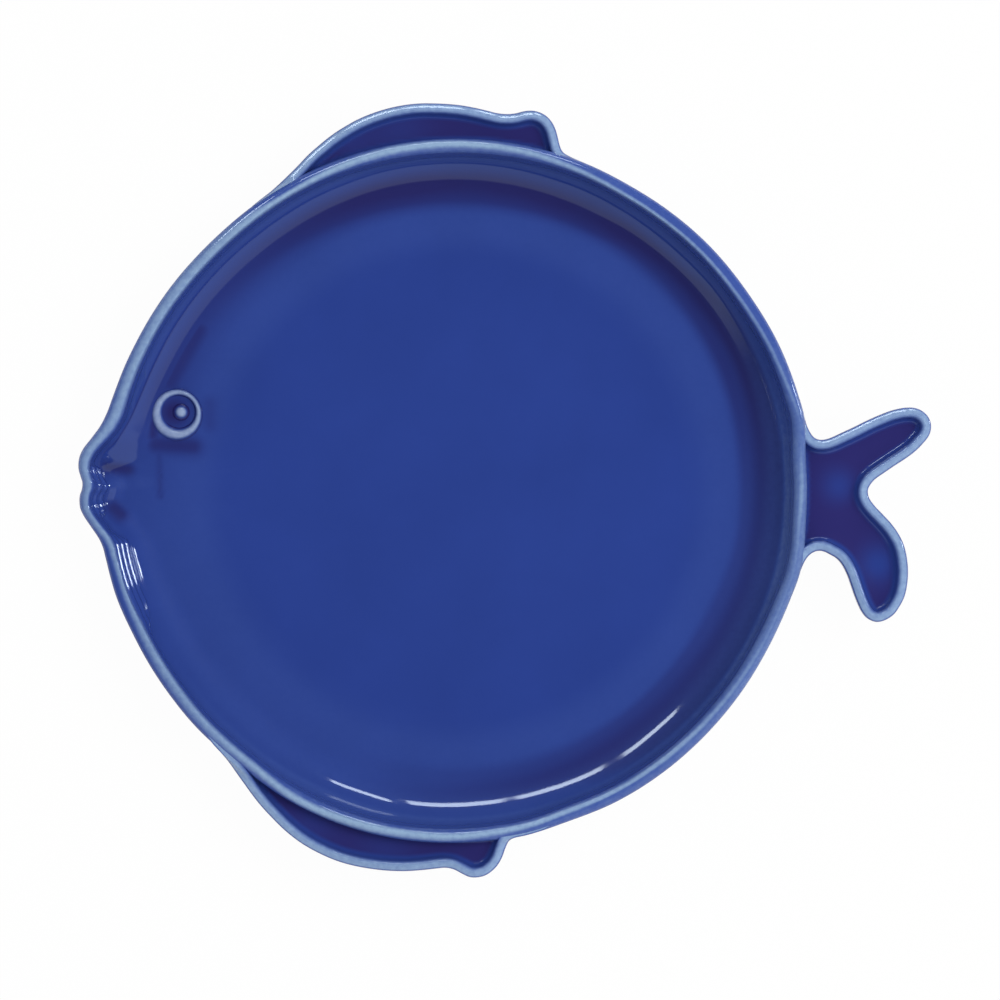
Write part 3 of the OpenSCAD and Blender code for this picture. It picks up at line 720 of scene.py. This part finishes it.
pelvic_edge = [
    (222, 147.3), (224, 149.6), (226, 150.7), (228, 151.2), (230, 152.1), (232, 153.6), (234, 155.3),
    (236, 157.2), (238, 159.1), (240.25, 161.0), (243.5, 163.7), (247, 165.8), (251, 167.0), (254.5, 167.1),
    (258.5, 166.3), (262, 165.1), (264.8, 163.7), (266.6, 162.75), (268.3, 162.1), (269.6, 162.8),
    (270.8, 164.6), (271.9, 166.1), (273, 166.4), (274.2, 165.8), (275.3, 164.1), (276.2, 161.9),
    (277, 158.9), (277.7, 155.2), (278.4, 152.4), (279.4, 151.2), (281, 151.0), (283, 150.7), (285, 150.1),
    (286.5, 148.0), (286, 143), (283, 133), (277, 125), (266, 122.4), (253.5, 121.2), (241, 121.2),
    (231, 123.6), (225, 131), (221.5, 141),
]
pelvic_spots = ((-62, -142, 11, 0.35), (-30, -154, 12, 0.3))
pelvic = beaded_tray("pelvic_fin_glazed", around(pelvic_edge), wall_r=151.1, light_spots=pelvic_spots)
pelvic.data.materials.append(fin_glaze)
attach(pelvic, "root")
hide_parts("pelvic_fin")

# The tail: a forked tray of the same stoneware with the same bead, joined to the wall with slip
# behind the body. Its lower lobe is the broader one, and it doubles as a grip.

tail_edge = [
    (143.0, 46.5), (144.9, 42.0), (146.5, 38.0), (147.9, 34.0), (149.0, 30.4), (149.9, 27.3), (151.0, 24.9),
    (152.2, 23.0), (153.6, 21.8), (155.5, 21.2), (158, 21.4), (161, 22.4), (165, 24.3), (169.99, 26.6),
    (176, 29.6), (181.98, 32.2), (187, 34.0), (192.11, 34.96), (196.2, 34.8), (199.46, 33.4), (202.0, 30.8),
    (203.1, 27.2), (202.3, 23.2), (199.46, 19.41), (196, 16.0), (192.11, 13.1), (187.5, 10.1),
    (183.05, 7.08), (179, 4.2), (176.6, 1.2), (176.0, -1.2), (176.7, -4.0), (179.2, -7.4), (182.51, -10.86),
    (186.2, -14.9), (189.18, -19.14), (191.4, -23.8), (192.64, -28.8), (193.2, -34.5), (192.91, -40.3),
    (191.8, -45.6), (189.71, -49.96), (186.9, -53.8), (183.05, -56.2), (179.3, -56.8), (175.85, -55.3),
    (173.4, -52.4), (171.59, -48.58), (170.2, -45), (168.92, -41.22), (167.4, -36.9), (165.19, -32.48),
    (162.7, -29.6), (160, -28.0), (158, -26.95), (156, -26.4), (154, -26.5), (152, -27.4), (150.3, -28.9),
    (148.8, -31.2), (147.2, -34.9), (145.6, -39.2), (143.6, -44), (141.0, -47.5), (136, -46), (130, -41),
    (125.5, -32), (123.6, -21), (122.4, -0.7), (123.6, 20), (125.5, 31), (130, 40), (136, 46),
    (140.5, 48.5),
]
tail_spots = ((164, 1.5, 7.5, 0.7), (181, -32, 8, 0.9))
tail = beaded_tray("tail_fin_glazed", tail_edge, wall_r=149.2, light_spots=tail_spots)
tail.data.materials.append(fin_glaze)
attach(tail, "root")
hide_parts("tail_fin")

# The eye's ring: a coil of the same clay, bent round, joined and pressed down on the floor, thicker
# towards the snout. The glaze has run thin on its top and lies thick in and round it.

coil_turn = np.radians(np.arange(0, 360, 2.5))
# The coil's section from its outer edge: place across its width, from 1 to 0, and height
coil_shape = [
    (1.12, 0.0), (1.06, 0.1), (1.0, 0.42), (0.94, 1.0), (0.84, 1.65), (0.7, 2.2), (0.5, 2.5), (0.3, 2.2),
    (0.16, 1.65), (0.06, 1.0), (0.0, 0.42), (-0.06, 0.1), (-0.12, 0.0),
]
# How thin the glaze lies at each of these places, and how much of it pools there
coil_thin = [0, 0, 0.06, 0.25, 0.6, 0.85, 0.9, 0.85, 0.6, 0.25, 0.04, 0, 0]
coil_pool = [0.6, 0.7, 0.4, 0, 0, 0, 0, 0, 0, 0, 0.4, 1.0, 1.0]
outer_middle, outer_r = np.array([-121.3, 32.4]), 11.0
inner_middle, inner_r = np.array([-120.3, 33.4]), 7.3
# How far its underside is pressed into the floor
sunk = 0.6
points, thin, pool = [], [], []
for a in coil_turn:
    outward = np.array([math.cos(a), math.sin(a)])
    outer, inner = outer_middle + outer_r * outward, inner_middle + inner_r * outward
    for (share, rise), t, p in zip(coil_shape, coil_thin, coil_pool):
        x, y = inner + (outer - inner) * share
        points.append((x, y, floor_z + rise))
        thin.append(t)
        pool.append(p)
    points.append((*(inner + outer) / 2, floor_z - sunk))
    thin.append(0)
    pool.append(0)
m = len(coil_shape) + 1
n = len(coil_turn)
faces = [
    (k * m + i, ((k + 1) % n) * m + i, ((k + 1) % n) * m + (i + 1) % m, k * m + (i + 1) % m)
    for k in range(n) for i in range(m)
]
coil = clay_piece("eye_coil", points, faces, thin=thin, pool=pool, bare=np.zeros(len(points)))
eye_glaze = glazed_clay("eye glaze", pool=(0.024, 0.022, 0.15), thin=(0.34, 0.44, 0.66))
coil.data.materials.append(eye_glaze)
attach(coil, "root")
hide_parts("eye_ring")

# The pupil: a small pellet of the same clay, rolled round and pressed down on the floor inside the
# ring, so that its edge spreads. It has the ring's glaze.

pellet_x, pellet_y, pellet_top = -119.3, 33.4, 2.0
# Its section from the top outwards: radius, height and how thin the glaze lies
pellet_shape = [
    (0.6, 1.95, 1), (1.2, 1.8, 0.95), (1.7, 1.52, 0.8), (2.1, 1.15, 0.55), (2.45, 0.7, 0.3),
    (2.7, 0.3, 0.1), (3.1, 0.08, 0), (3.7, 0.0, 0),
]
points, thin, pool = [(pellet_x, pellet_y, floor_z - sunk)], [0], [0]
for r, rise, t in pellet_shape:
    for a in coil_turn[::2]:
        points.append((pellet_x + r * math.cos(a), pellet_y + r * math.sin(a), floor_z + rise))
        thin.append(t)
        pool.append(1 - t if r > 2.2 else 0)
n = len(coil_turn[::2])
top = len(points)
points.append((pellet_x, pellet_y, floor_z + pellet_top))
thin.append(1)
pool.append(0)
faces = []
last = 1 + (len(pellet_shape) - 1) * n
for first in range(1, last, n):
    faces += [(first + k, first + n + k, first + n + (k + 1) % n, first + (k + 1) % n) for k in range(n)]
faces += [(top, 1 + k, 1 + (k + 1) % n) for k in range(n)]
faces += [(0, last + (k + 1) % n, last + k) for k in range(n)]
pellet = clay_piece("eye_pellet", points, faces, thin=thin, pool=pool, bare=np.zeros(len(points)))
pellet.data.materials.append(eye_glaze)
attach(pellet, "root")
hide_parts("eye_pupil")

# The foot ring: turned from the same clay and joined under the floor, wiped free of glaze so that
# it does not stick in the kiln, and ground flat where it stands.

foot_height = 0.0043
foot_tree = bpy.data.node_groups.new("turned foot", "GeometryNodeTree")
sockets(foot_tree, [
    ("Geometry", "NodeSocketGeometry", "INPUT", None),
    ("Middle Radius", "NodeSocketFloat", "INPUT", 0.096),
    ("Height", "NodeSocketFloat", "INPUT", foot_height),
    ("Top Width", "NodeSocketFloat", "INPUT", 0.008), ("Bottom Width", "NodeSocketFloat", "INPUT", 0.0061),
    ("Edge Radius", "NodeSocketFloat", "INPUT", 0.0014), ("Middle", "NodeSocketVector", "INPUT", None),
    ("Clay", "NodeSocketMaterial", "INPUT", None), ("Geometry", "NodeSocketGeometry", "OUTPUT", None),
])
given = foot_tree.nodes.new("NodeGroupInput")
result = foot_tree.nodes.new("NodeGroupOutput")
asked = given.outputs
circle = add(foot_tree, "GeometryNodeCurvePrimitiveCircle", {
    "Resolution": 240, "Radius": asked["Middle Radius"],
}).outputs[0]
section = add(foot_tree, "GeometryNodeCurvePrimitiveQuadrilateral", {
    "Bottom Width": asked["Bottom Width"], "Top Width": asked["Top Width"],
    "Height": asked["Height"], "Offset": 0.0,
}, mode="TRAPEZOID").outputs[0]
softened = add(foot_tree, "GeometryNodeFilletCurve", {
    "Curve": section, "Radius": asked["Edge Radius"], "Count": 6, "Limit Radius": True,
}, mode="POLY").outputs[0]
turned = add(foot_tree, "GeometryNodeCurveToMesh", {"Curve": circle, "Profile Curve": softened}).outputs[0]
for kind, inputs in (
    ("GeometryNodeSetShadeSmooth", {}),
    ("GeometryNodeTransform", {"Translation": asked["Middle"]}),
    ("GeometryNodeRealizeInstances", {}),
    ("GeometryNodeSetMaterial", {"Material": asked["Clay"]}),
):
    turned = add(foot_tree, kind, {"Geometry": turned, **inputs}).outputs[0]
foot_tree.links.new(turned, result.inputs[0])

foot_clay = bpy.data.materials.new("foot clay")
foot_clay.use_nodes = True
tree = foot_clay.node_tree
surface = tree.nodes["Principled BSDF"]
clay = add(tree, "ShaderNodeGroup", node_tree=clay_group).outputs
tree.links.new(clay["Colour"], surface.inputs["Base Color"])
tree.links.new(clay["Roughness"], surface.inputs["Roughness"])
bump = add(tree, "ShaderNodeBump", {"Strength": 1.0, "Distance": 0.00008, "Height": clay["Height"]})
tree.links.new(bump.outputs[0], surface.inputs["Normal"])

start_mesh = bpy.data.meshes.new("foot start")
start_mesh.from_pydata([(0, 0, 0)], [], [])
start_piece = bpy.data.objects.new("foot start", start_mesh)
bpy.context.scene.collection.objects.link(start_piece)
turning = start_piece.modifiers.new("turned foot", "NODES")
turning.node_group = foot_tree
wanted = {"Middle": (dish_middle[0], dish_middle[1], foot_height / 2), "Clay": foot_clay}
for item in foot_tree.interface.items_tree:
    if item.name in wanted:
        turning[item.identifier] = wanted[item.name]
shaped = start_piece.evaluated_get(bpy.context.evaluated_depsgraph_get())
finished = bpy.data.meshes.new_from_object(shaped)
bpy.data.objects.remove(start_piece)
foot = bpy.data.objects.new("foot_ring_bare", finished)
bpy.context.scene.collection.objects.link(foot)
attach(foot, "root")
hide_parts("foot_ring")

# The studio: a white paper table, one large soft lamp on the tail's side, and what the glaze
# mirrors: a pale wall on the belly's side, four lamps along the back's side and a low window
# beyond the tail.

table_mesh = bpy.data.meshes.new("table")
half = 6
corners = [(-half, -half, 0), (half, -half, 0), (half, half, 0), (-half, half, 0)]
table_mesh.from_pydata(corners, [], [(0, 1, 2, 3)])
table = bpy.data.objects.new("table", table_mesh)
bpy.context.scene.collection.objects.link(table)
paper = bpy.data.materials.new("table paper")
paper.use_nodes = True
tree = paper.node_tree
surface = tree.nodes["Principled BSDF"]
fibre = noise(tree, add(tree, "ShaderNodeTexCoord").outputs["Object"], 30.0)
white = mixed(tree, fibre, (0.93, 0.93, 0.93, 1), (0.96, 0.96, 0.96, 1))
tree.links.new(white, surface.inputs["Base Color"])
surface.inputs["Roughness"].default_value = 1.0
surface.inputs["Specular IOR Level"].default_value = 0.0
bright = add(tree, "ShaderNodeEmission", {"Color": (1, 1, 1, 1), "Strength": 1.0})
sees = add(tree, "ShaderNodeLightPath").outputs
share = counted(tree, "MULTIPLY", sees["Is Camera Ray"], 0.97)
blend = add(tree, "ShaderNodeMixShader", {0: share, 1: surface.outputs[0], 2: bright.outputs[0]})
tree.links.new(blend.outputs[0], tree.nodes["Material Output"].inputs["Surface"])
table_mesh.materials.append(paper)

# The glaze mirrors the pale wall up to a set height; the room's light is even, its backdrop white
world = bpy.data.worlds.new("studio")
bpy.context.scene.world = world
world.use_nodes = True
tree = world.node_tree
away = add(tree, "ShaderNodeTexCoord").outputs["Generated"]
parts = add(tree, "ShaderNodeSeparateXYZ", {"Vector": away})
flat = add(tree, "ShaderNodeVectorMath", {0: away, 1: (1, 1, 0)}, operation="MULTIPLY").outputs[0]
flat = add(tree, "ShaderNodeVectorMath", {0: flat}, operation="NORMALIZE").outputs[0]
front_azimuth = math.radians(283)
to_front = (math.cos(front_azimuth), math.sin(front_azimuth), 0)
toward = add(tree, "ShaderNodeVectorMath", {0: flat, 1: to_front}, operation="DOT_PRODUCT")
front = add(tree, "ShaderNodeMapRange", {
    "Value": toward.outputs["Value"], "From Min": 0.15, "From Max": 0.42,
}).outputs[0]
low = add(tree, "ShaderNodeMapRange", {
    "Value": parts.outputs["Z"], "From Min": 0.645, "From Max": 0.685, "To Min": 1.0, "To Max": 0.0,
}).outputs[0]
pale_wall = counted(tree, "MULTIPLY", counted(tree, "MULTIPLY", front, low), 0.78)
mirrored = counted(tree, "ADD", pale_wall, 0.02)
sees = add(tree, "ShaderNodeLightPath").outputs
strength = between(tree, sees["Is Glossy Ray"], 0.56, mirrored)
strength = between(tree, sees["Is Camera Ray"], strength, 1.0)
tree.links.new(strength, tree.nodes["Background"].inputs["Strength"])
tint = mixed(tree, sees["Is Glossy Ray"], (1, 1, 1, 1), (0.75, 0.88, 1, 1))
tree.links.new(tint, tree.nodes["Background"].inputs["Color"])


def lamp(name, azimuth, height, distance, width, length, watts, for_shade):
    """Area lamp that faces the dish, for its shading or else only for what the glaze mirrors."""
    light = bpy.data.lights.new(name, "AREA")
    light.shape = "RECTANGLE"
    light.size, light.size_y = width, length
    light.energy = watts
    light.color = (1, 1, 1) if for_shade else (0.74, 0.86, 1)
    lit = bpy.data.objects.new(name, light)
    bpy.context.scene.collection.objects.link(lit)
    a, e = math.radians(azimuth), math.radians(height)
    out = Vector((math.cos(e) * math.cos(a), math.cos(e) * math.sin(a), math.sin(e)))
    lit.location = out * distance + Vector((float(dish_middle[0]), float(dish_middle[1]), 0.025))
    lit.rotation_euler = (-out).to_track_quat("-Z", "Y").to_euler()
    lit.visible_camera = False
    lit.visible_glossy = not for_shade
    lit.visible_diffuse = for_shade


lamp("soft key", 15, 60, distance=2.2, width=1.3, length=1.3, watts=24.5, for_shade=True)
bank_length, bank_glow = 0.26, 44
for azimuth, height, width in ((73.5, 27, 0.37), (91.6, 33, 0.49), (110.2, 33, 0.51), (128.8, 33, 0.3)):
    watts = width * bank_length * bank_glow
    lamp("long bank", azimuth, height, 2.0, width, bank_length, watts, for_shade=False)
window_width, window_length, window_glow = 0.32, 0.24, 95
watts = window_width * window_length * window_glow
lamp("far window", 15.1, 9, 2.0, window_width, window_length, watts, for_shade=False)

# The camera looks straight down, from far enough that the walls hardly lean.
camera_data = bpy.data.cameras.new("camera")
camera_data.lens = 201.96
camera_data.sensor_width = 36.0
camera = bpy.data.objects.new("camera", camera_data)
bpy.context.scene.collection.objects.link(camera)
camera.location = (-0.00205, -0.00398, 2.435)
camera.rotation_euler = (0, 0, 0)
bpy.context.scene.camera = camera
bpy.context.scene.view_settings.view_transform = "Standard"
